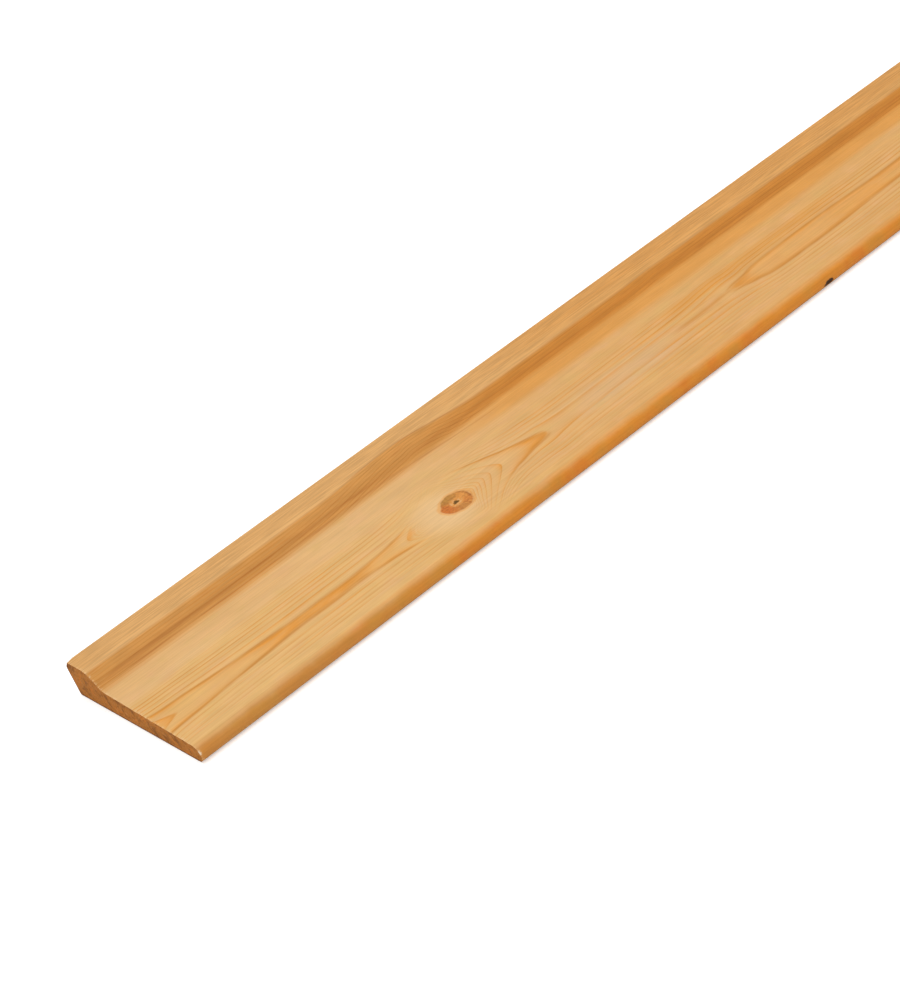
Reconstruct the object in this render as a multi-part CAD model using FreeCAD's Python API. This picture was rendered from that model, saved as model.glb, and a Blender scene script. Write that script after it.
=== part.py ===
"""A length of moulded pine skirting board, planed from one piece of stock.

The board lies on its flat back with its moulded face up. X runs along the grain, the thick foot
is at +Y, the thin round nose is at -Y, and Z rises from the back. The origin is under the middle.
The section is drawn in two measures: across, from the foot edge towards the nose, and height,
from the back.
"""

import FreeCAD, Part
import math
import os
from FreeCAD import Vector

# Driving sizes in millimetres and degrees.
LENGTH = 2400.0            # one stock length, sawn square at both ends
WIDTH = 69.0               # from the foot edge to the crown of the nose
THICKNESS = 12.0           # through the shoulder, the thickest place
FOOT_ROUND = 2.2           # radius where the foot edge turns into the shoulder
SHOULDER_WIDTH = 9.6       # from the foot edge to the start of the ogee
ROUND_RADIUS = 9.3         # upper, swelling half of the ogee
COVE_RADIUS = 5.7          # lower, hollow half of the ogee
FIELD_TAPER = 2.1          # how far the field falls towards the nose
NOSE_THICKNESS = 5.4       # through the half-round nose


def section_point(across, height):
    """A point of the section, on the near end of the board."""
    return Vector(-LENGTH / 2, WIDTH / 2 - across, height)


def arc(centre, start, end):
    """The shorter arc from start to end about a centre."""
    radius = (start - centre).Length
    bisector = (start - centre).normalize() + (end - centre).normalize()
    return Part.Arc(start, centre + bisector.normalize() * radius, end).toShape()


def line(start, end):
    """A straight edge of the section."""
    return Part.LineSegment(start, end).toShape()


def field_directions():
    """Unit vectors down the tapering field, from foot to nose, and square out of its face."""
    taper = math.radians(FIELD_TAPER)
    down = Vector(0, -math.cos(taper), -math.sin(taper))
    out = Vector(0, -math.sin(taper), math.cos(taper))
    return down, out


def nose_edges():
    """The half-round nose: one arc from the field to the crown, one from there to the back."""
    down, out = field_directions()
    radius = NOSE_THICKNESS / 2
    centre = section_point(WIDTH - radius, radius)
    field_end = centre + out * radius
    crown = section_point(WIDTH, radius)
    back_end = section_point(WIDTH - radius, 0)
    return field_end, [arc(centre, field_end, crown), arc(centre, crown, back_end)], back_end


def ogee_edges(field_end):
    """The ogee: a round tangent to the shoulder, and a cove tangent to the round and the field.

    The cove's centre lies its own radius above the field's face and both radii away from the
    centre of the round, which fixes the point where the curve turns over.
    """
    down, out = field_directions()
    shoulder_end = section_point(SHOULDER_WIDTH, THICKNESS)
    round_centre = section_point(SHOULDER_WIDTH, THICKNESS - ROUND_RADIUS)
    above_field = field_end + out * COVE_RADIUS
    to_round = round_centre - above_field
    rise = to_round.dot(out)
    run = math.sqrt((ROUND_RADIUS + COVE_RADIUS) ** 2 - rise ** 2)
    cove_centre = above_field + down * (to_round.dot(down) + run)
    turn_over = round_centre + (cove_centre - round_centre).normalize() * ROUND_RADIUS
    field_start = cove_centre - out * COVE_RADIUS
    edges = [arc(round_centre, shoulder_end, turn_over), arc(cove_centre, turn_over, field_start)]
    return shoulder_end, edges, field_start


def foot_edges(shoulder_end):
    """The square foot edge, its rounded arris and the flat shoulder."""
    back_corner = section_point(0, 0)
    edge_top = section_point(0, THICKNESS - FOOT_ROUND)
    arris_centre = section_point(FOOT_ROUND, THICKNESS - FOOT_ROUND)
    shoulder_start = section_point(FOOT_ROUND, THICKNESS)
    edges = [line(back_corner, edge_top), arc(arris_centre, edge_top, shoulder_start),
             line(shoulder_start, shoulder_end)]
    return back_corner, edges


def board_section():
    """The closed outline of the board's end."""
    field_end, nose, back_end = nose_edges()
    shoulder_end, ogee, field_start = ogee_edges(field_end)
    back_corner, foot = foot_edges(shoulder_end)
    field = [line(field_start, field_end)]
    back = [line(back_end, back_corner)]
    return Part.Face(Part.Wire(foot + ogee + field + nose + back))


def skirting_board():
    """The whole length, one solid."""
    return board_section().extrude(Vector(LENGTH, 0, 0))


os.makedirs("parts", exist_ok=True)
skirting_board().exportStep("parts/skirting_board.step")
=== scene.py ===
"""A length of planed pine skirting board, lying face up on a pale floor.

Meshes are in metres, in the board's own frame: X runs along the grain, the thick foot is at +Y,
the moulded face is up and the flat back is at height 0. The grain is worked out in millimetres,
in three measures: along, from the near sawn end; across, from the foot edge towards the nose;
and height, from the back.
"""

import math

import bmesh
import bpy
from mathutils import Matrix, Quaternion, Vector, noise


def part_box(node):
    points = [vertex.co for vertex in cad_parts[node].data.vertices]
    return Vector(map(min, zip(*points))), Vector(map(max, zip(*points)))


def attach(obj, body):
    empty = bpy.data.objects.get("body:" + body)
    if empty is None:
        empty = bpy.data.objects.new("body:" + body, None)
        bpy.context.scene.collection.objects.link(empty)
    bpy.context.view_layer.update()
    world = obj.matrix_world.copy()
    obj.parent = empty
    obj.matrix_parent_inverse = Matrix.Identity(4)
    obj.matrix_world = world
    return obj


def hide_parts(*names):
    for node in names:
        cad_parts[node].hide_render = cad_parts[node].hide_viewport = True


MM = 0.001


def colour(red, green, blue):
    """A colour given in steps of 255, as a screen shows it."""
    def linear(step):
        share = step / 255
        return share / 12.92 if share <= 0.04045 else ((share + 0.055) / 1.055) ** 2.4
    return (linear(red), linear(green), linear(blue), 1.0)


# The moulded section. Its width, thickness and length come from the frame.
FOOT_ROUND = 2.2 * MM
BACK_ARRIS = 0.25 * MM
SHOULDER_WIDTH = 9.6 * MM
ROUND_RADIUS = 9.3 * MM
COVE_RADIUS = 5.7 * MM
FIELD_TAPER = math.radians(2.1)
NOSE_THICKNESS = 5.4 * MM

# Sawn ends: the upper arris that the saw tore, and how fine the tearing is, in waves per metre.
TEAR_REACH = 0.66 * MM
TEAR_DEPTH = 0.5 * MM
TEAR_WAVES = (40, 800, 800)

# The foot's corner at the near end, knocked and worn round.
WEAR_REACH = 2.4 * MM
WEAR_DEPTH = 0.9 * MM
WEAR_TOWARD = Vector((0.3, -0.6, -0.6))

# A dead knot broken out of the nose, measured along, across and up from the back.
NOSE_HOLE = Vector((240.2, 69.0, 1.5)) * MM
NOSE_HOLE_REACH = Vector((2.1, 1.4, 1.2)) * MM
NOSE_HOLE_DEPTH = 0.4 * MM
NOSE_HOLE_RAGGED = 0.25
NOSE_HOLE_WAVES = 900

# How the mesh is cut: finer near the ends, in rows up the sawn ends, and smooth below an angle.
# Points nearer than the first distance are one, and those nearer than the second lie on an end.
END_STRETCH = 6 * MM
END_ROWS = 12
SHARP_ANGLE = math.radians(40)
SAME_POINT = 1e-7
ON_END = 1e-6

# Growth rings, in millimetres. The face cuts them almost flat, with the pith under it.
FACE_HEIGHT = 6.0
FACE_RING = 16.0
RING_SPACING = 1.1

# Rings inside the figure: where along the board they change, how far the wood sinks from one ring
# to the next, and how that bends, each before the first knot and past it.
INNER_TURN = (92.0, 112.0)
INNER_STEP = (32.0, 107.0)
INNER_BEND = (1.2, 0.88)

# Round knots: along, offset from the centre of the figure, radius.
KNOTS = [
    (107.2, 1.4, 5.3),
    (642.0, -1.5, 3.4),
    (1018.0, 1.0, 5.8),
    (1507.0, 0.0, 4.6),
    (2049.0, -1.0, 5.1),
]

# How a knot lifts the rings, in its radii and their squares: close by, before the knot and past
# it, and wide of it, where the middle of the lift lies a little past the knot.
KNOT_LIFT = (107.0, 62.0)
KNOT_REACH = (0.64, 1.15)
KNOT_WIDE_LIFT = 9.25
KNOT_WIDE_REACH = 4.5
KNOT_DRIFT = 0.75

# The stretch nearest the camera: where the middle of the figure lies across the face, and how far
# the rings rise under it. Each point is its place along the board and its value.
MIDDLE = [(0, 49.0), (80, 49.0), (98, 48.3), (107, 47.5), (114, 46.7), (119, 45.7), (124, 45.5),
          (130, 46.0), (136, 46.4), (144, 46.9), (170, 46.4), (200, 46.0), (212, 45.6),
          (221, 45.2), (228, 45.8), (236, 46.1), (300, 46.3)]
FIGURE = [(0, 44), (7, 32), (10, 30), (20, 20), (30, 13), (40, 9), (50, 7), (60, 7), (70, 6),
          (78, 9), (84, 11), (90, 12), (100, 8), (112, 0), (122, -1), (130, -1), (136, 0.5), (140, 1),
          (142, 0.5), (144, -3), (148, -9), (154, -13), (162, -14), (180, -15), (200, -13),
          (219, 1), (221, 5), (230, 16), (240, 32), (255, 35), (300, 24)]
FIGURE_LENGTH = 300

# Near the end of that stretch the middle starts to wander and the rings to drift: over these
# lengths and this far, in millimetres and, for the drift, their squares.
WANDER_START = (260.0, 420.0)
WANDER_LENGTH = 260.0
WANDER_REACH = 22.0
DRIFT_LENGTH = 110.0
DRIFT_MIDDLE = 0.42
DRIFT_REACH = 220.0

# The ogee's darker colour, across the face: partly the wood's own darker tone, partly painted shade.
# Its upper edge bulges towards the foot beside the first knot and lies lower past it. Its lower
# edge goes from one place to the other over the turn.
OGEE_TOP = 12.7
OGEE_TOP_DROP = 1.1
OGEE_BULGE = -2.1
OGEE_BULGE_ALONG = 112.0
OGEE_BULGE_REACH = 15.0
OGEE_TURN = (110.0, 155.0)
OGEE_LOW = (19.3, 18.0)

# Parts of the face, from and to, across the board.
SHOULDER_FADE = (9.0, 20.0)
BAND_ACROSS = (16.0, 25.5)
HEART_ACROSS = (33.0, 63.0)
BLUSH_ACROSS = (33.5, 38.5)
FAINT_ACROSS = (38.5, 52.0)
FIGURE_ACROSS = (34.0, 63.0)
QUIET_ACROSS = (42.0, 54.0)
MARGIN_ACROSS = (63.5, 67.5)

# Stretches of the board, from and to, measured along it.
FIRST_GLOW = (36.0, 68.0)
WARMING = (60.0, 220.0)
STREAK_ALONG = (88.0, 92.0)
CRESCENT_ALONG = (122.5, 127.5)
MARGIN_TURN = (125.0, 150.0)
SECOND_GLOW = (131.0, 140.0)
LARGE_FLAME = (150.0, 200.0)
QUIET_RINGS = (152.0, 192.0)
QUIET_FIELD = (156.0, 196.0)
TAIL_ALONG = (199.0, 221.0)
NEXT_FLAME = (222.0, 240.0)
NEXT_GLOW = (226.0, 236.0)

# Finishes, as the photograph's light shows them.
PALE_FIELD = colour(225, 181, 123)
WARM_FIELD = colour(219, 167, 101)
HEART_FIELD = colour(226, 178, 104)
PINK_FIELD = colour(228, 174, 126)
YELLOW_FIELD = colour(214, 176, 104)
GREY_FIELD = colour(216, 179, 136)
SUMMER_WOOD = colour(227, 149, 52)
RING_EDGE = colour(203, 136, 57)
NEAR_SHOULDER = colour(217, 165, 101)
FAR_SHOULDER = colour(213, 155, 86)
HEART_BAND = colour(219, 153, 72)
# Ogee and nose colours: partly the wood's own darker tone, partly painted shade.
OGEE_NEAR = colour(212, 150, 76)
OGEE_FAR = colour(209, 138, 56)
OGEE_EDGE = colour(166, 98, 38)
NOSE_NEAR = colour(211, 142, 64)
NOSE_FAR = colour(224, 142, 48)
NOSE_UNDER = colour(210, 150, 84)
NOSE_BLUSH = colour(222, 126, 42)
NOSE_OCHRE = colour(206, 146, 60)
HALO_WOOD = colour(231, 191, 137)
FIBRE_WOOD = colour(236, 194, 142)
SPLINTER_WOOD = colour(250, 226, 192)
KNOT_ORANGE = colour(224, 150, 70)
KNOT_RED = colour(202, 112, 42)
KNOT_BROWN = colour(186, 124, 60)
KNOT_OLIVE = colour(176, 126, 54)
KNOT_DARK = colour(140, 80, 30)
KNOT_CREAM = colour(232, 184, 122)
KNOT_PITH = colour(92, 66, 16)
# Painted shade inside the hole where a knot broke out of the nose.
HOLE_SHADE = colour(72, 46, 24)
END_WOOD = colour(194, 123, 49)
END_WARM = colour(202, 128, 55)
END_DARK = colour(112, 64, 30)
END_ORANGE = colour(222, 130, 44)
END_PALE = colour(216, 152, 90)

# Patches of colour inside a knot: which way they lie from its pith in radians, how wide, how strong.
KNOT_PATCHES = [
    (-1.9, 0.7, 0.8, KNOT_OLIVE),
    (1.7, 0.5, 0.7, KNOT_BROWN),
    (0.7, 0.2, 0.5, KNOT_RED),
    (3.0, 0.7, 0.95, KNOT_RED),
]

# Camera: where it stands from the near end's foot corner, and how it is turned.
CAMERA_STAND = Vector((-172.31, -594.59, 329.11)) * MM
CAMERA_BACK = Vector((-0.401856, -0.789076, 0.464619))
CAMERA_ROLL = math.radians(-23.39)
CAMERA_LENS = 88.96
CAMERA_SENSOR = 36

# Floor and light.
FLOOR_REACH = 8.0
FLOOR_GAP = 0.1 * MM
FLOOR_GLOW = 0.45
FLOOR_SHADE = 0.9
FLOOR_ROUGHNESS = 0.9
SURROUND = 0.57
OVERHEAD_POWER = 47
OVERHEAD_PLACE = Vector((-0.9, 0.0, 2.6))
OVERHEAD_SIZE = (4.0, 1.6)

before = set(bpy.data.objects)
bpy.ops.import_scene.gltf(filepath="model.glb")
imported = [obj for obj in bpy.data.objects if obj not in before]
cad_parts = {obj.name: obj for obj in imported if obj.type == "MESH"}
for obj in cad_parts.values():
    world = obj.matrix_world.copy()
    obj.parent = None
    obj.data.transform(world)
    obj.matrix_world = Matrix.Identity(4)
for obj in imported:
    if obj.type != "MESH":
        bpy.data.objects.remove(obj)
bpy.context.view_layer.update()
LOW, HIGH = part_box("skirting_board")
WIDTH = HIGH.y - LOW.y
THICKNESS = HIGH.z - LOW.z
LENGTH = HIGH.x - LOW.x


def section_point(across, height):
    """A point of the section in the plane of the near end."""
    return Vector((LOW.x, HIGH.y - across, LOW.z + height))


def draw_line(bm, tip, end, steps):
    """Extends the outline from its tip to end, in equal steps."""
    stride = (end - tip.co) / steps
    for _ in range(steps):
        tip = bmesh.ops.extrude_vert_indiv(bm, verts=[tip])["verts"][0]
        bmesh.ops.translate(bm, verts=[tip], vec=stride)
    return tip


def draw_arc(bm, tip, centre, end, steps):
    """Extends the outline from its tip round a centre, the short way to end."""
    turn = (tip.co - centre).yz.angle_signed((end - centre).yz)
    swept = bmesh.ops.spin(bm, geom=[tip], cent=centre, axis=(1, 0, 0), angle=-turn, steps=steps)
    return swept["geom_last"][0]


def ogee_points(field_end, down, out):
    """Centres and joints of the ogee: a round off the shoulder, a cove on to the field."""
    round_centre = section_point(SHOULDER_WIDTH, THICKNESS - ROUND_RADIUS)
    above_field = field_end + out * COVE_RADIUS
    to_round = round_centre - above_field
    run = math.sqrt((ROUND_RADIUS + COVE_RADIUS) ** 2 - to_round.dot(out) ** 2)
    cove_centre = above_field + down * (to_round.dot(down) + run)
    turn_over = round_centre + (cove_centre - round_centre).normalized() * ROUND_RADIUS
    return round_centre, turn_over, cove_centre, cove_centre - out * COVE_RADIUS


def draw_section(bm):
    """The closed outline of the near end, as a loop of edges."""
    down = Vector((0, -math.cos(FIELD_TAPER), -math.sin(FIELD_TAPER)))
    out = Vector((0, -math.sin(FIELD_TAPER), math.cos(FIELD_TAPER)))
    nose = NOSE_THICKNESS / 2
    nose_centre = section_point(WIDTH - nose, nose)
    field_end = nose_centre + out * nose
    round_centre, turn_over, cove_centre, field_start = ogee_points(field_end, down, out)
    arris_centre = section_point(FOOT_ROUND, THICKNESS - FOOT_ROUND)

    first = bm.verts.new(section_point(0, BACK_ARRIS))
    tip = draw_line(bm, first, section_point(0, THICKNESS - FOOT_ROUND), steps=8)
    tip = draw_arc(bm, tip, arris_centre, section_point(FOOT_ROUND, THICKNESS), steps=6)
    tip = draw_line(bm, tip, section_point(SHOULDER_WIDTH, THICKNESS), steps=8)
    tip = draw_arc(bm, tip, round_centre, turn_over, steps=9)
    tip = draw_arc(bm, tip, cove_centre, field_start, steps=6)
    tip = draw_line(bm, tip, field_end, steps=46)
    tip = draw_arc(bm, tip, nose_centre, section_point(WIDTH, nose), steps=8)
    tip = draw_arc(bm, tip, nose_centre, section_point(WIDTH - nose, 0), steps=8)
    tip = draw_line(bm, tip, section_point(BACK_ARRIS, 0), steps=40)
    bm.edges.new((tip, first))
    return list(bm.edges)


def sweep_along(bm, loop, stretches):
    """Sweeps the outline along the grain. A stretch is where it ends, and its number of steps."""
    reached = 0.0
    for end, steps in stretches:
        stride = (end - reached) / steps
        swept = bmesh.ops.spin(bm, geom=loop, cent=(0, 0, 0), axis=(1, 0, 0), angle=0,
                               dvec=(stride, 0, 0), steps=steps)
        loop = [part for part in swept["geom_last"] if isinstance(part, bmesh.types.BMEdge)]
        reached = end


def cap_end(bm, loop, rows):
    """Closes one end and cuts the cap into cells, so that the saw's marks can shape it."""
    made = bmesh.ops.contextual_create(bm, geom=loop)["faces"]
    for cut in range(1, rows):
        height = THICKNESS * cut / rows
        cells = set(made) | {e for f in made for e in f.edges} | {v for f in made for v in f.verts}
        split = bmesh.ops.bisect_plane(bm, geom=list(cells), plane_co=(0, 0, LOW.z + height),
                                       plane_no=(0, 0, 1))
        made = [part for part in split["geom"] if isinstance(part, bmesh.types.BMFace)
                and abs(part.normal.x) > 0.9]
    for face in made:
        face.material_index = 1


def soften_ends(bm):
    """Breaks the upper arris of both sawn ends unevenly, where the saw left the wood."""
    for vert in bm.verts:
        from_end = min(vert.co.x - LOW.x, HIGH.x - vert.co.x)
        if from_end > TEAR_REACH or vert.co.z < LOW.z + FOOT_ROUND:
            continue
        torn = noise.noise(Vector(vert.co[i] * TEAR_WAVES[i] for i in range(3)))
        vert.co.z -= max(0.0, torn) * TEAR_DEPTH * (1 - from_end / TEAR_REACH)


def wear_corner(bm):
    """Rounds the foot's corner at the near end, where the length was knocked."""
    corner = Vector((LOW.x, HIGH.y, HIGH.z))
    for vert in bm.verts:
        near = 1 - (vert.co - corner).length / WEAR_REACH
        if near > 0:
            vert.co += WEAR_TOWARD * WEAR_DEPTH * near


def sink_nose_hole(bm):
    """Presses the broken-out knot into the nose."""
    centre = Vector((LOW.x + NOSE_HOLE.x, HIGH.y - NOSE_HOLE.y, LOW.z + NOSE_HOLE.z))
    for vert in bm.verts:
        offset = vert.co - centre
        if abs(offset.x) > 2 * NOSE_HOLE_REACH.x:
            continue
        reach = Vector(offset[i] / NOSE_HOLE_REACH[i] for i in range(3)).length
        ragged = reach + NOSE_HOLE_RAGGED * noise.noise(vert.co * NOSE_HOLE_WAVES)
        if ragged < 1:
            vert.co.y += NOSE_HOLE_DEPTH * (1 - ragged ** 2)


def shade_by_angle(bm, limit):
    """Smooth faces with sharp edges where two faces meet at more than the limit."""
    for face in bm.faces:
        face.smooth = True
    for edge in bm.edges:
        edge.smooth = edge.calc_face_angle(0.0) < limit


def finish_mesh(bm, name, materials):
    """Turns a finished bmesh into a piece at the origin."""
    mesh = bpy.data.meshes.new(name)
    bm.to_mesh(mesh)
    bm.free()
    for material in materials:
        mesh.materials.append(material)
    piece = bpy.data.objects.new(name, mesh)
    bpy.context.scene.collection.objects.link(piece)
    return piece


def make_board(materials):
    """The whole moulded length, closed at both sawn ends."""
    bm = bmesh.new()
    outline = draw_section(bm)
    hole_from = NOSE_HOLE.x - 2 * NOSE_HOLE_REACH.x
    hole_to = NOSE_HOLE.x + 2 * NOSE_HOLE_REACH.x
    sweep_along(bm, outline, [(TEAR_REACH, 3), (END_STRETCH, 9), (hole_from, 72), (hole_to, 30),
                              (FIGURE_LENGTH * MM, 20), (LENGTH - END_STRETCH, 150),
                              (LENGTH - TEAR_REACH, 4), (LENGTH, 3)])
    bmesh.ops.remove_doubles(bm, verts=bm.verts, dist=SAME_POINT)
    bm.normal_update()
    for x in (LOW.x, HIGH.x):
        loop = [e for e in bm.edges if all(abs(v.co.x - x) < ON_END for v in e.verts)]
        cap_end(bm, loop, END_ROWS)
    bmesh.ops.recalc_face_normals(bm, faces=bm.faces)
    soften_ends(bm)
    wear_corner(bm)
    sink_nose_hole(bm)
    shade_by_angle(bm, SHARP_ANGLE)
    return finish_mesh(bm, "skirting_length", materials)


class Graph:
    """Adds nodes to one node tree. Each method returns the socket that holds its result."""

    def __init__(self, tree):
        self.tree = tree

    def node(self, kind, inputs=None, **settings):
        made = self.tree.nodes.new(kind)
        for name, value in settings.items():
            setattr(made, name, value)
        for key, value in (inputs or {}).items():
            self.feed(made.inputs[key], value)
        return made

    def feed(self, socket, value):
        if isinstance(value, bpy.types.NodeSocket):
            self.tree.links.new(value, socket)
        else:
            socket.default_value = value

    def math(self, operation, first, second=0.0, third=0.0):
        made = self.node("ShaderNodeMath", {0: first, 1: second, 2: third}, operation=operation)
        return made.outputs[0]

    def add(self, first, second):
        return self.math("ADD", first, second)

    def less(self, first, second):
        return self.math("SUBTRACT", first, second)

    def times(self, first, second):
        return self.math("MULTIPLY", first, second)

    def over(self, first, second):
        return self.math("DIVIDE", first, second)

    def square(self, value):
        return self.times(value, value)

    def power(self, first, second):
        return self.math("POWER", first, second)

    def decay(self, distance, reach):
        """Falls from 1 at no distance to 1/e at the reach."""
        return self.math("EXPONENT", self.over(self.times(distance, -1.0), reach))

    def bell(self, value, centre, reach):
        """1 at the centre, falling on both sides to 1/e at the reach."""
        return self.decay(self.square(self.over(self.less(value, centre), reach)), 1.0)

    def rise(self, value, start, end, low=0.0, high=1.0):
        """Goes smoothly from low to high as the value goes from start to end."""
        ends = {"Value": value, "From Min": start, "From Max": end, "To Min": low, "To Max": high}
        made = self.node("ShaderNodeMapRange", ends, interpolation_type="SMOOTHSTEP")
        return made.outputs["Result"]

    def band(self, value, start, end, soft):
        """1 between start and end, with soft edges."""
        risen = self.rise(value, start - soft, start + soft)
        return self.times(risen, self.rise(value, end - soft, end + soft, 1.0, 0.0))

    def vector(self, x, y, z=0.0):
        return self.node("ShaderNodeCombineXYZ", {0: x, 1: y, 2: z}).outputs[0]

    def noise(self, place, along, across, detail=2.0, seed=0.0):
        """Noise between 0 and 1 with features of the given length and width in millimetres."""
        x, y, z = place
        spot = self.vector(self.over(x, along), self.over(y, across), self.over(z, across))
        shifted = self.node("ShaderNodeVectorMath", {0: spot, 1: (seed, seed, seed)}).outputs[0]
        made = self.node("ShaderNodeTexNoise", {"Vector": shifted, "Scale": 1.0, "Detail": detail})
        return made.outputs["Fac"]

    def blend(self, amount, first, second, mode="MIX"):
        """Mixes two colours. Their sockets share a name with other types, so they go by place."""
        colours = {0: amount, 6: first, 7: second}
        made = self.node("ShaderNodeMix", colours, data_type="RGBA", blend_type=mode)
        return made.outputs[2]

    def group(self, tree, inputs):
        """Places a node group and returns its outputs."""
        made = self.node("ShaderNodeGroup", node_tree=tree)
        for name, value in inputs.items():
            self.feed(made.inputs[name], value)
        return made.outputs


def start_group(name, inputs, outputs):
    """An empty node group with number sockets, its graph, and its inner ends."""
    tree = bpy.data.node_groups.new(name, "ShaderNodeTree")
    for socket in inputs:
        tree.interface.new_socket(socket, in_out="INPUT", socket_type="NodeSocketFloat")
    for socket in outputs:
        tree.interface.new_socket(socket, in_out="OUTPUT", socket_type="NodeSocketFloat")
    graph = Graph(tree)
    return tree, graph, graph.node("NodeGroupInput").outputs, graph.node("NodeGroupOutput").inputs


def start_material(name):
    """A material with its graph, its Principled BSDF, and the board's three measures."""
    material = bpy.data.materials.new(name)
    material.use_nodes = True
    graph = Graph(material.node_tree)
    shader = material.node_tree.nodes["Principled BSDF"]
    place = graph.node("ShaderNodeTexCoord").outputs["Object"]
    origin = (-LOW.x / MM, HIGH.y / MM, -LOW.z / MM)
    stretch = (1 / MM, -1 / MM, 1 / MM)
    measured = graph.node("ShaderNodeMapping", {"Vector": place, "Location": origin,
                                                "Scale": stretch})
    axes = graph.node("ShaderNodeSeparateXYZ", {0: measured.outputs[0]}).outputs
    return material, graph, shader, (axes[0], axes[1], axes[2])


def oval(g, past, aside, before, squeeze):
    """Distance from a point before a knot, in knot radii, with the way across counted for less."""
    return g.math("SQRT", g.add(g.square(g.add(past, before)), g.times(g.square(aside), squeeze)))


def make_knot_group():
    """A round knot that runs through the board, and how it lifts the rings round it."""
    tree, g, given, out = start_group("knot", ["Along", "Offset", "Knot along", "Knot offset",
                                               "Radius"],
                                      ["Lift", "Wood", "Reach", "Turn", "Calm", "Pale", "Beside"])
    radius = given["Radius"]
    past = g.over(g.less(given["Along"], given["Knot along"]), radius)
    aside = g.over(g.less(given["Offset"], given["Knot offset"]), radius)
    rounded = g.less(g.math("SQRT", g.add(g.square(past), 0.25)), 0.5)
    pointed = g.less(g.math("SQRT", g.add(g.square(aside), 0.05)), 0.22)
    rounded = g.add(rounded, g.times(pointed, 0.65))
    close_lift = g.decay(rounded, g.rise(past, -0.5, 0.5, *KNOT_REACH))
    close_lift = g.times(close_lift, g.rise(past, -1.0, 1.2, *KNOT_LIFT))
    wide_lift = g.times(g.bell(past, KNOT_DRIFT, KNOT_WIDE_REACH), KNOT_WIDE_LIFT)
    wide = g.rise(g.math("ABSOLUTE", aside), 1.9, 5.7)
    lift = g.add(g.times(close_lift, g.less(1.0, wide)), g.times(wide_lift, wide))
    g.feed(out["Lift"], g.times(lift, g.square(radius)))

    ragged = g.noise((past, aside, given["Knot along"]), 0.6, 0.6, detail=3.0)
    distance = g.math("SQRT", g.add(g.square(past), g.square(aside)))
    distance = g.add(distance, g.times(g.less(ragged, 0.5), 0.35))
    g.feed(out["Reach"], distance)
    g.feed(out["Wood"], g.rise(distance, 0.92, 1.06, 1.0, 0.0))
    g.feed(out["Turn"], g.math("ARCTAN2", aside, past))
    beyond = g.less(past, g.rise(aside, 0.0, 1.0, 0.0, 0.9))
    beside = g.times(g.rise(past, -4.3, -2.9), g.rise(beyond, 1.4, 2.8, 1.0, 0.0))
    g.feed(out["Beside"], beside)
    g.feed(out["Calm"], g.rise(oval(g, past, aside, 1.3, 0.45), 1.1, 2.6, 1.0, 0.0))
    g.feed(out["Pale"], g.rise(oval(g, past, aside, 0.8, 0.8), 0.9, 2.7, 1.0, 0.0))
    return tree


def place_knots(g, knot_tree, along, offset):
    """Every round knot of the board, in this graph."""
    return [g.group(knot_tree, {"Along": along, "Offset": offset, "Knot along": knot_along,
                                "Knot offset": knot_offset, "Radius": radius})
            for knot_along, knot_offset, radius in KNOTS]


def draw_curve(g, along, points):
    """A value that changes along the stretch nearest the camera, through the points given."""
    low = min(value for place, value in points)
    reach = max(value for place, value in points) - low
    share = g.math("MINIMUM", g.over(along, FIGURE_LENGTH), 1.0)
    made = g.node("ShaderNodeFloatCurve", {"Value": share})
    curve = made.mapping.curves[0]
    curve.points[0].location = (0, (points[0][1] - low) / reach)
    curve.points[-1].location = (1, (points[-1][1] - low) / reach)
    for place, value in points[1:-1]:
        curve.points.new(place / FIGURE_LENGTH, (value - low) / reach)
    made.mapping.update()
    return g.add(g.times(made.outputs[0], reach), low)


def figure_middle(g, along):
    """Where the middle of the figure lies across the face, near the camera and wandering beyond."""
    wander = g.noise((along, 0.0, 0.0), WANDER_LENGTH, 1.0, detail=1.0, seed=3.0)
    wander = g.times(g.less(wander, 0.5), WANDER_REACH)
    return g.add(draw_curve(g, along, MIDDLE), g.times(wander, g.rise(along, *WANDER_START)))


def figure_lift(g, along):
    """How far the rings rise under the face near the end that shows, and a slow drift beyond."""
    drawn = draw_curve(g, along, FIGURE)
    drift = g.noise((along, 0.0, 0.0), DRIFT_LENGTH, 1.0, detail=1.0)
    loose = g.times(g.less(drift, DRIFT_MIDDLE), DRIFT_REACH)
    far = g.rise(along, 0.85 * FIGURE_LENGTH, 1.15 * FIGURE_LENGTH)
    return g.add(g.times(drawn, g.less(1.0, far)), g.times(loose, far))


def ring_boldness(g, along, year):
    """How boldly a year's ring shows. It goes by chance, but for a few years that are set."""
    chance = g.node("ShaderNodeTexWhiteNoise", {"W": year}, noise_dimensions="1D").outputs["Value"]
    bold = g.add(0.42, g.times(chance, 0.45))
    bold = g.add(bold, g.rise(year, -1.0, -3.0, 0.0, 0.3))
    bold = g.add(bold, g.times(g.rise(along, *NEXT_FLAME), 0.2))
    set_years = [(-1.0, 1.0),
                 (-2.0, g.rise(along, 20.0, 80.0, 0.6, 0.35)),
                 (1.0, g.rise(along, *LARGE_FLAME)),
                 (3.0, g.rise(along, *LARGE_FLAME, 1.0, 0.0))]
    for number, weight in set_years:
        same = g.math("COMPARE", year, number, 0.5)
        bold = g.math("MAXIMUM", bold, g.times(same, weight))
    return bold


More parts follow.
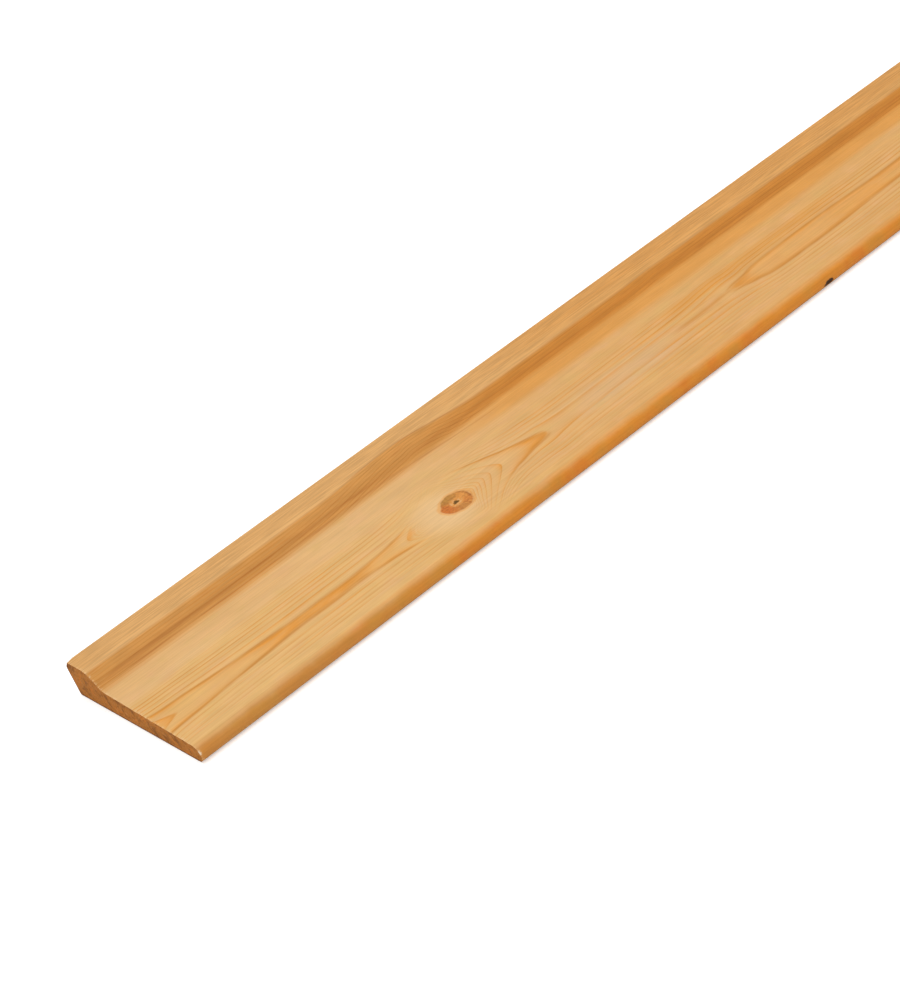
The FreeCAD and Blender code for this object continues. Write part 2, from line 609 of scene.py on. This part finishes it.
def make_ring_group(knot_tree):
    """The growth rings of the tree, as the board's faces cut them."""
    tree, g, given, out = start_group("growth rings", ["Along", "Across", "Height"],
                                      ["Ring", "Part", "Boldness", "Offset", "Outline"])
    along, across, height = given["Along"], given["Across"], given["Height"]
    offset = g.less(across, figure_middle(g, along))
    g.feed(out["Offset"], offset)
    lift = figure_lift(g, along)
    for knot in place_knots(g, knot_tree, along, offset):
        lift = g.add(lift, knot["Lift"])

    depth = g.less(height, FACE_HEIGHT)
    bowl = g.add(g.square(offset), g.times(depth, g.add(depth, 2 * FACE_RING)))
    swell = g.less(bowl, lift)
    outer = g.math("SQRT", g.add(g.math("MAXIMUM", swell, 0.0), FACE_RING ** 2))
    outer = g.over(g.less(outer, FACE_RING), RING_SPACING)
    step = g.rise(along, *INNER_TURN, *INNER_STEP)
    bend = g.rise(along, *INNER_TURN, *INNER_BEND)
    inner = g.power(g.over(g.math("MAXIMUM", g.times(swell, -1.0), 0.0), step), bend)
    wobble = g.times(g.less(g.noise((along, across, height), 30.0, 5.0, detail=3.0), 0.5), 0.12)
    ring = g.add(g.less(outer, inner), wobble)
    g.feed(out["Ring"], ring)
    g.feed(out["Part"], g.math("FRACT", ring))
    slope = g.over(g.math("SQRT", g.add(g.square(offset), 1.5)), FACE_RING * RING_SPACING)
    g.feed(out["Outline"], g.decay(g.square(g.over(g.over(ring, slope), 0.5)), 1.0))
    g.feed(out["Boldness"], ring_boldness(g, along, g.math("FLOOR", ring)))
    return tree


def knot_wood(g, knot, place):
    """The colours inside a knot: orange, red behind, olive above, a pith ringed with pale specks."""
    reach, turn = knot["Reach"], knot["Turn"]
    speck = g.noise(place, 0.8, 0.8, seed=21.0)
    ray = g.noise((turn, reach, 0.0), 0.16, 1.5, seed=4.0)
    wood = KNOT_ORANGE
    for toward, width, strength, tone in KNOT_PATCHES:
        facing = g.add(g.math("COSINE", g.less(turn, toward)), g.times(g.less(speck, 0.5), 0.8))
        patch = g.times(g.rise(facing, 1.0 - width, 1.0), g.rise(reach, 0.25, 0.6))
        wood = g.blend(g.times(patch, strength), wood, tone)
    wood = g.blend(g.times(g.rise(ray, 0.4, 0.65), 0.2), wood, KNOT_DARK)
    wood = g.blend(g.times(g.rise(speck, 0.52, 0.64), 0.3), wood, KNOT_DARK)
    corner = g.rise(g.math("COSINE", g.less(turn, 0.3)), 0.93, 0.99, 0.0, 0.6)
    crest = g.rise(g.math("COSINE", g.add(turn, 0.3)), 0.5, 0.95, 0.0, 0.45)
    rim = g.times(g.band(reach, 0.86, 1.0, 0.08), g.math("MAXIMUM", corner, crest))
    wood = g.blend(rim, wood, KNOT_DARK)
    cream = g.times(g.band(reach, 0.16, 0.4, 0.08), g.rise(speck, 0.48, 0.6, 0.0, 0.7))
    wood = g.blend(cream, wood, KNOT_CREAM)
    return g.blend(g.rise(g.add(reach, g.times(speck, 0.3)), 0.24, 0.36, 0.95, 0.0), wood, KNOT_PITH)


def ogee_mask(g, along, across):
    """Where the ogee's darker colour lies, its own wood and painted shade, and the upper edge of it.
    """
    bulge = g.times(g.bell(along, OGEE_BULGE_ALONG, OGEE_BULGE_REACH), OGEE_BULGE)
    top_edge = g.add(g.add(bulge, OGEE_TOP), g.rise(along, 118.0, 145.0, 0.0, OGEE_TOP_DROP))
    low_edge = g.rise(along, *OGEE_TURN, *OGEE_LOW)
    low_soft = g.rise(along, *OGEE_TURN, 2.0, 0.8)
    into_ogee = g.rise(g.less(across, top_edge), -0.4, 0.8)
    past_ogee = g.rise(g.over(g.less(across, low_edge), low_soft), -1.0, 1.0, 1.0, 0.0)
    return g.times(into_ogee, past_ogee), top_edge


def ring_show(g, along, across, broad):
    """How plainly the rings show: most in the middle of the field, less in a quiet stretch."""
    show = g.add(0.1, g.times(g.band(across, *FIGURE_ACROSS, 4.0), 0.9))
    show = g.times(show, g.rise(across, 51.0, 57.0, 1.0, 0.7))
    show = g.times(show, g.less(1.0, g.times(g.band(along, *QUIET_RINGS, 10.0), 0.5)))
    on_shoulder = g.rise(across, 9.0, 11.0, 1.0, 0.0)
    show = g.add(show, g.times(on_shoulder, g.rise(along, 90.0, 190.0, 0.2, 0.7)))
    return g.times(show, g.rise(broad, 0.3, 0.6, 0.55, 1.0))


def figure_glow(g, along):
    """Stretches where the summer wood spreads wide over its rings."""
    glow = g.math("MAXIMUM", g.band(along, *FIRST_GLOW, 8.0), g.rise(along, *SECOND_GLOW))
    return g.times(glow, g.rise(along, *NEXT_GLOW, 1.0, 0.25))


def ring_layers(g, along, grown, glow):
    """How each ring darkens from its spring side on, and the thin dark edge that closes it."""
    ring, part = grown["Ring"], grown["Part"]
    fall = g.rise(part, 0.92, 1.0, 1.0, 0.0)
    older = g.rise(along, 93.0, 100.0, 1.8, 3.5)
    steep = g.rise(ring, -1.05, -0.95, older, g.rise(glow, 0.0, 1.0, 3.0, 1.3))
    steep = g.add(steep, g.rise(ring, -0.1, 0.4, 0.0, 1.2))
    edge_from = g.rise(ring, 0.0, 1.0, 0.84, 0.6)
    return g.times(g.power(part, steep), fall), g.times(g.rise(part, edge_from, 0.95), fall)


def figure_outline(g, grown, broken, open_grain):
    """The dark line round the figure, faint along its middle and left out beside the knots."""
    outline = g.times(g.times(grown["Outline"], broken), g.times(open_grain, 0.95))
    from_middle = g.math("ABSOLUTE", g.less(grown["Offset"], 0.6))
    return g.times(outline, g.rise(from_middle, 0.6, 2.4, 0.2, 1.0))


def field_wood(g, place, broad):
    """Colours of the field under its rings: warmer along the board, with faint blots."""
    along, across, _ = place
    warmth = g.times(g.rise(along, *WARMING), 0.75)
    field = g.blend(g.add(warmth, g.rise(broad, 0.35, 0.65, 0.0, 0.3)), PALE_FIELD, WARM_FIELD)
    heart = g.times(g.band(across, *HEART_ACROSS, 2.0), g.rise(along, 90.0, 130.0, 0.48, 0.0))
    field = g.blend(heart, field, HEART_FIELD)
    quiet = g.times(g.band(across, *QUIET_ACROSS, 3.0), g.band(along, *QUIET_FIELD, 12.0))
    field = g.blend(g.times(quiet, 0.5), field, GREY_FIELD)
    margin = g.times(g.band(across, *MARGIN_ACROSS, 1.0), g.rise(along, *MARGIN_TURN, 0.45, 0.2))
    margin_tone = g.blend(g.rise(along, *MARGIN_TURN), HEART_FIELD, HEART_BAND)
    field = g.blend(margin, field, margin_tone)
    blot = g.noise(place, 7.0, 5.0, seed=61.0)
    field = g.blend(g.rise(blot, 0.5, 0.75, 0.0, 0.3), field, PINK_FIELD)
    return g.blend(g.rise(blot, 0.5, 0.25, 0.0, 0.3), field, YELLOW_FIELD)


def face_wood(g, place, broad, ogee):
    """Colours of the whole face under its rings: shoulder, ogee, warm bands and field."""
    along, across, _ = place
    shoulder = g.blend(g.rise(along, 140.0, 190.0), NEAR_SHOULDER, FAR_SHOULDER)
    wood = g.blend(g.rise(across, *SHOULDER_FADE), shoulder, field_wood(g, place, broad))
    band = g.times(g.band(across, *BAND_ACROSS, 2.4), g.rise(along, 112.0, 160.0))
    wood = g.blend(g.times(band, 0.85), wood, HEART_BAND)
    blush = g.times(g.band(across, *BLUSH_ACROSS, 1.5), g.rise(along, 196.0, 212.0, 0.0, 0.6))
    faint = g.times(g.band(across, *FAINT_ACROSS, 1.5), g.rise(along, 224.0, 240.0, 0.0, 0.2))
    blush = g.times(g.add(blush, faint), g.rise(along, 262.0, 290.0, 1.0, 0.0))
    wood = g.blend(blush, wood, HEART_BAND)
    # The ogee's colour: partly its own wood, partly painted shade.
    return g.blend(ogee, wood, g.blend(g.rise(along, 110.0, 160.0), OGEE_NEAR, OGEE_FAR))


def tint_strength(g, along, offset, glow):
    """How strongly the summer wood colours the rings, with one crescent close past the knot."""
    strength = g.times(g.rise(along, 95.0, 120.0, 1.7, 1.45), g.rise(glow, 0.0, 1.0, 0.6, 1.0))
    strength = g.times(strength, g.rise(along, 5.0, 10.0, 1.6, 1.0))
    crescent = g.times(g.band(along, *CRESCENT_ALONG, 1.2), g.band(offset, -1.0, 3.5, 1.5))
    return g.add(strength, g.times(crescent, 1.5))


def streak_ogee(g, place, wood, ogee, top_edge, thread):
    """Dark threads in the ogee, and three fine lines that run along it."""
    along, across, _ = place
    wood = g.blend(g.times(g.times(ogee, g.rise(thread, 0.5, 0.8)), 0.5), wood, OGEE_EDGE)
    crest = g.add(0.15, g.times(g.band(along, 98.0, 140.0, 8.0), 0.4))
    lines = [(top_edge, 0.3, crest),
             (16.5, 0.4, g.rise(along, 70.0, 105.0, 0.45, 0.2)),
             (g.rise(along, 100.0, 150.0, 18.0, 20.5), 0.3, g.rise(along, 140.0, 156.0, 0.4, 0.0))]
    for line_across, width, strength in lines:
        line = g.times(g.bell(across, line_across, width), g.rise(thread, 0.3, 0.55))
        wood = g.blend(g.times(line, strength), wood, OGEE_EDGE)
    return wood


def streak_figure(g, place, wood, offset, thread):
    """The dark tail of the large flame, and a short slanting streak before the knot."""
    along, across, _ = place
    tail = g.bell(g.add(offset, g.times(thread, 1.6)), 1.3, 1.1)
    tail = g.times(tail, g.band(along, *TAIL_ALONG, 5.0))
    wood = g.blend(g.times(tail, 0.7), wood, RING_EDGE)
    streak = g.add(g.less(across, 50.6), g.times(g.less(along, 87.5), 0.85))
    streak = g.times(g.decay(g.square(streak), 1.5), g.band(along, *STREAK_ALONG, 1.5))
    return g.blend(g.times(streak, 0.5), wood, SUMMER_WOOD)


def darken_nose(g, place, wood):
    """The nose's darker colour, its own wood and painted shade; its edge wanders a little along the
    board.
    """
    along, across, height = place
    ripple = g.less(g.noise((along, 0.0, 0.0), 7.0, 1.0, seed=17.0), 0.5)
    rippled = g.add(g.add(across, g.times(ripple, 1.4)), g.rise(along, *MARGIN_TURN, 0.0, 0.15))
    nose = g.add(g.rise(rippled, 66.0, 67.3, 0.0, 0.34), g.rise(rippled, 67.2, 69.0, 0.0, 0.66))
    nose_wood_and_shade = g.blend(g.rise(along, 35.0, 100.0), NOSE_NEAR, NOSE_FAR)
    blush = g.noise((along, across, 0.0), 9.0, 2.5, seed=71.0)
    redder = g.times(g.rise(blush, 0.5, 0.68, 0.0, 0.6), g.rise(along, 30.0, 60.0, 0.1, 1.0))
    nose_wood_and_shade = g.blend(redder, nose_wood_and_shade, NOSE_BLUSH)
    nose_wood_and_shade = g.blend(g.rise(blush, 0.5, 0.3, 0.0, 0.5), nose_wood_and_shade, NOSE_OCHRE)
    nose_wood_and_shade = g.blend(g.rise(height, 0.6, 2.0, 0.6, 0.0), nose_wood_and_shade, NOSE_UNDER)
    return g.blend(nose, wood, nose_wood_and_shade)


def tear_fibres(g, place, wood):
    """Pale fibres torn at both sawn ends, and a splinter at the near end of the nose."""
    along, across, height = place
    from_end = g.math("MINIMUM", along, g.less(LENGTH / MM, along))
    torn = g.noise(place, 2.0, 0.45, seed=31.0)
    fibres = g.times(g.rise(from_end, 0.0, 1.0, 1.0, 0.0), g.rise(torn, 0.5, 0.62, 0.08, 1.0))
    wood = g.blend(g.times(fibres, 0.8), wood, FIBRE_WOOD)
    splinter = g.times(g.band(height, 3.0, 4.2, 0.3), g.rise(across, 68.2, 68.6))
    splinter = g.times(splinter, g.rise(g.add(along, torn), 0.7, 1.2, 0.9, 0.0))
    return g.blend(splinter, wood, SPLINTER_WOOD)


def streak_grey(g, place, fibre, thread):
    """Light and dark streaks along the grain, coarser on the shoulder, as a grey to multiply by."""
    patch = g.noise(place, 9.0, 3.0, detail=3.0, seed=13.0)
    shade = g.rise(fibre, 0.25, 0.75, 0.94, 1.05)
    shade = g.times(shade, g.rise(patch, 0.25, 0.75, 0.965, 1.035))
    coarse = g.less(g.rise(thread, 0.35, 0.65, 0.87, 1.1), 1.0)
    coarse = g.times(coarse, g.rise(place[1], 10.0, 21.0, 1.0, 0.15))
    shade = g.times(shade, g.add(1.0, coarse))
    return g.node("ShaderNodeCombineColor", {0: shade, 1: shade, 2: shade}).outputs[0]


def make_pine(rings, knot_tree):
    """Planed long grain, on every face but the sawn ends."""
    material, g, shader, place = start_material("planed_pine")
    along, across, height = place
    grown = g.group(rings, {"Along": along, "Across": across, "Height": height})
    ring, offset = grown["Ring"], grown["Offset"]
    knots = place_knots(g, knot_tree, along, offset)
    broad = g.noise(place, 60.0, 9.0, seed=5.0)
    fibre = g.noise(place, 22.0, 0.5, detail=3.0, seed=9.0)
    thread = g.noise(place, 12.0, 0.6, seed=41.0)
    broken = g.rise(g.noise(place, 14.0, 5.0, seed=51.0), 0.3, 0.6, 0.55, 1.0)

    calm = 1.0
    open_grain = 1.0
    for knot in knots:
        calm = g.times(g.less(1.0, g.times(knot["Calm"], 0.85)), calm)
        open_grain = g.times(g.less(1.0, knot["Beside"]), open_grain)

    ogee, top_edge = ogee_mask(g, along, across)
    show = g.times(g.add(ring_show(g, along, across, broad), g.times(ogee, 0.6)), calm)
    bold = g.times(g.times(grown["Boldness"], broken), show)
    glow = figure_glow(g, along)
    summer, edge = ring_layers(g, along, grown, glow)
    outline = figure_outline(g, grown, broken, open_grain)
    edge = g.math("MAXIMUM", g.times(edge, bold), outline)

    wood = face_wood(g, place, broad, ogee)
    for knot in knots:
        wood = g.blend(g.times(knot["Pale"], 0.85), wood, HALO_WOOD)
        wood = g.blend(g.times(g.band(knot["Reach"], 1.0, 1.15, 0.08), 0.5), wood, SUMMER_WOOD)
    tint = g.times(g.times(summer, bold), tint_strength(g, along, offset, glow))
    wood = g.blend(g.math("MINIMUM", tint, 1.0), wood, SUMMER_WOOD)
    within = g.times(g.rise(ring, 0.1, -0.4, 0.0, 0.13), g.rise(along, 34.0, 50.0, 1.0, 0.0))
    wood = g.blend(within, wood, SUMMER_WOOD)
    # In the ogee the ring edges turn darker, partly painted shade.
    wood = g.blend(edge, wood, g.blend(ogee, RING_EDGE, OGEE_EDGE))
    wood = streak_ogee(g, place, wood, ogee, top_edge, thread)
    wood = streak_figure(g, place, wood, offset, thread)
    wood = darken_nose(g, place, wood)
    for knot in knots:
        wood = g.blend(knot["Wood"], wood, knot_wood(g, knot, place))
    wood = tear_fibres(g, place, wood)
    # Painted shade: the hole is painted near black, darker than its shallow dent can shade it.
    wood = g.blend(hole_mask(g, place), wood, HOLE_SHADE)
    wood = g.blend(1.0, wood, streak_grey(g, place, fibre, thread), "MULTIPLY")

    g.feed(shader.inputs["Base Color"], wood)
    g.feed(shader.inputs["Roughness"], g.rise(fibre, 0.2, 0.8, 0.68, 0.56))
    relief = g.add(g.times(edge, 0.3), g.times(fibre, 0.5))
    bump = g.node("ShaderNodeBump", {"Height": relief, "Strength": 0.35, "Distance": 0.1 * MM})
    g.feed(shader.inputs["Normal"], bump.outputs[0])
    shader.inputs["Specular IOR Level"].default_value = 0.2
    return material


def hole_mask(g, place):
    """Where the nose has lost a dead knot, with a ragged rim."""
    parts = []
    for measure, centre, reach in zip(place, NOSE_HOLE / MM, NOSE_HOLE_REACH / MM):
        parts.append(g.square(g.over(g.less(measure, centre), reach)))
    distance = g.math("SQRT", g.add(g.add(parts[0], parts[1]), parts[2]))
    ragged = g.add(distance, g.times(g.less(g.noise(place, 0.9, 0.9, seed=27.0), 0.5), 0.8))
    return g.rise(ragged, 0.8, 1.1, 1.0, 0.0)


def make_end_grain(rings):
    """The two sawn ends, where the rings show as bows and the saw left its marks."""
    material, g, shader, place = start_material("sawn_end_grain")
    along, across, height = place
    grown = g.group(rings, {"Along": along, "Across": across, "Height": height})
    part = grown["Part"]
    edge = g.times(g.rise(part, 0.45, 0.9), g.rise(part, 0.95, 1.0, 1.0, 0.0))
    pores = g.noise(place, 1.0, 0.35, detail=4.0, seed=2.0)
    patch = g.noise(place, 1.0, 4.2, detail=4.0, seed=6.0)
    fleck = g.noise(place, 1.0, 1.3, seed=8.0)
    wood = g.blend(g.rise(patch, 0.3, 0.7), END_WOOD, END_WARM)
    wood = g.blend(g.rise(patch, 0.58, 0.7, 0.0, 0.8), wood, END_ORANGE)
    wood = g.blend(g.rise(patch, 0.47, 0.35, 0.0, 0.5), wood, END_DARK)
    wood = g.blend(g.times(edge, 0.15), wood, END_DARK)
    wood = g.blend(g.times(g.rise(pores, 0.56, 0.66), 0.4), wood, END_DARK)
    wood = g.blend(g.rise(fleck, 0.56, 0.7, 0.0, 0.55), wood, END_DARK)
    wood = g.blend(g.rise(fleck, 0.44, 0.3, 0.0, 0.4), wood, END_PALE)
    knock = g.times(g.rise(across, 1.0, 3.2, 1.0, 0.0), g.rise(height, 8.6, 10.6))
    wood = g.blend(g.times(knock, 0.8), wood, END_DARK)
    # Painted shadow: a thin dark line along the end's back edge and foot edge.
    rim = g.math("MINIMUM", height, across)
    wood = g.blend(g.times(g.rise(rim, 0.1, 0.8, 1.0, 0.0), 0.75), wood, END_DARK)
    g.feed(shader.inputs["Base Color"], wood)
    shader.inputs["Roughness"].default_value = 0.8
    shader.inputs["Specular IOR Level"].default_value = 0.1
    bump = g.node("ShaderNodeBump", {"Height": pores, "Strength": 0.6, "Distance": 0.2 * MM})
    g.feed(shader.inputs["Normal"], bump.outputs[0])
    return material


def make_floor():
    """A wide white floor that the camera sees as white, with the board's shadow kept."""
    bm = bmesh.new()
    bmesh.ops.create_grid(bm, x_segments=1, y_segments=1, size=FLOOR_REACH)
    bmesh.ops.translate(bm, verts=bm.verts, vec=(0, 0, LOW.z - FLOOR_GAP))
    material = bpy.data.materials.new("white_floor")
    material.use_nodes = True
    g = Graph(material.node_tree)
    shader = material.node_tree.nodes["Principled BSDF"]
    shader.inputs["Base Color"].default_value = (FLOOR_SHADE, FLOOR_SHADE, FLOOR_SHADE, 1)
    shader.inputs["Roughness"].default_value = FLOOR_ROUGHNESS
    shader.inputs["Specular IOR Level"].default_value = 0.0
    seen = g.node("ShaderNodeLightPath").outputs["Is Camera Ray"]
    shader.inputs["Emission Color"].default_value = (1, 1, 1, 1)
    g.feed(shader.inputs["Emission Strength"], g.times(seen, FLOOR_GLOW))
    return finish_mesh(bm, "floor", [material])


def light_board():
    """A broad soft light from above and behind the board, and an even white surround."""
    world = bpy.data.worlds.new("surround")
    world.use_nodes = True
    bpy.context.scene.world = world
    g = Graph(world.node_tree)
    background = world.node_tree.nodes["Background"]
    seen = g.node("ShaderNodeLightPath").outputs["Is Camera Ray"]
    g.feed(background.inputs["Strength"], g.rise(seen, 0.0, 1.0, SURROUND, 1.0))
    background.inputs["Color"].default_value = (1, 1, 1, 1)

    lamp = bpy.data.lights.new("overhead", "AREA")
    lamp.shape = "RECTANGLE"
    lamp.size, lamp.size_y = OVERHEAD_SIZE
    lamp.energy = OVERHEAD_POWER
    holder = bpy.data.objects.new("overhead", lamp)
    holder.location = OVERHEAD_PLACE
    aim = Vector((0, 0, 0)) - holder.location
    holder.rotation_euler = aim.to_track_quat("-Z", "Y").to_euler()
    bpy.context.scene.collection.objects.link(holder)


def place_camera():
    """The camera stands over the nose side of the near end and looks up the board."""
    lens = bpy.data.cameras.new("camera")
    lens.sensor_width = CAMERA_SENSOR
    lens.lens = CAMERA_LENS
    lens.clip_end = 100
    camera = bpy.data.objects.new("camera", lens)
    corner = section_point(0, 0)
    turn = CAMERA_BACK.to_track_quat("Z", "Y") @ Quaternion((0, 0, 1), CAMERA_ROLL)
    camera.matrix_world = Matrix.LocRotScale(corner + CAMERA_STAND, turn, None)
    bpy.context.scene.collection.objects.link(camera)
    bpy.context.scene.camera = camera


place_camera()
light_board()
make_floor()
knot_group = make_knot_group()
ring_group = make_ring_group(knot_group)
board = make_board([make_pine(ring_group, knot_group), make_end_grain(ring_group)])
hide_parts("skirting_board")
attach(board, "root")

scene = bpy.context.scene
scene.view_settings.view_transform = "Standard"
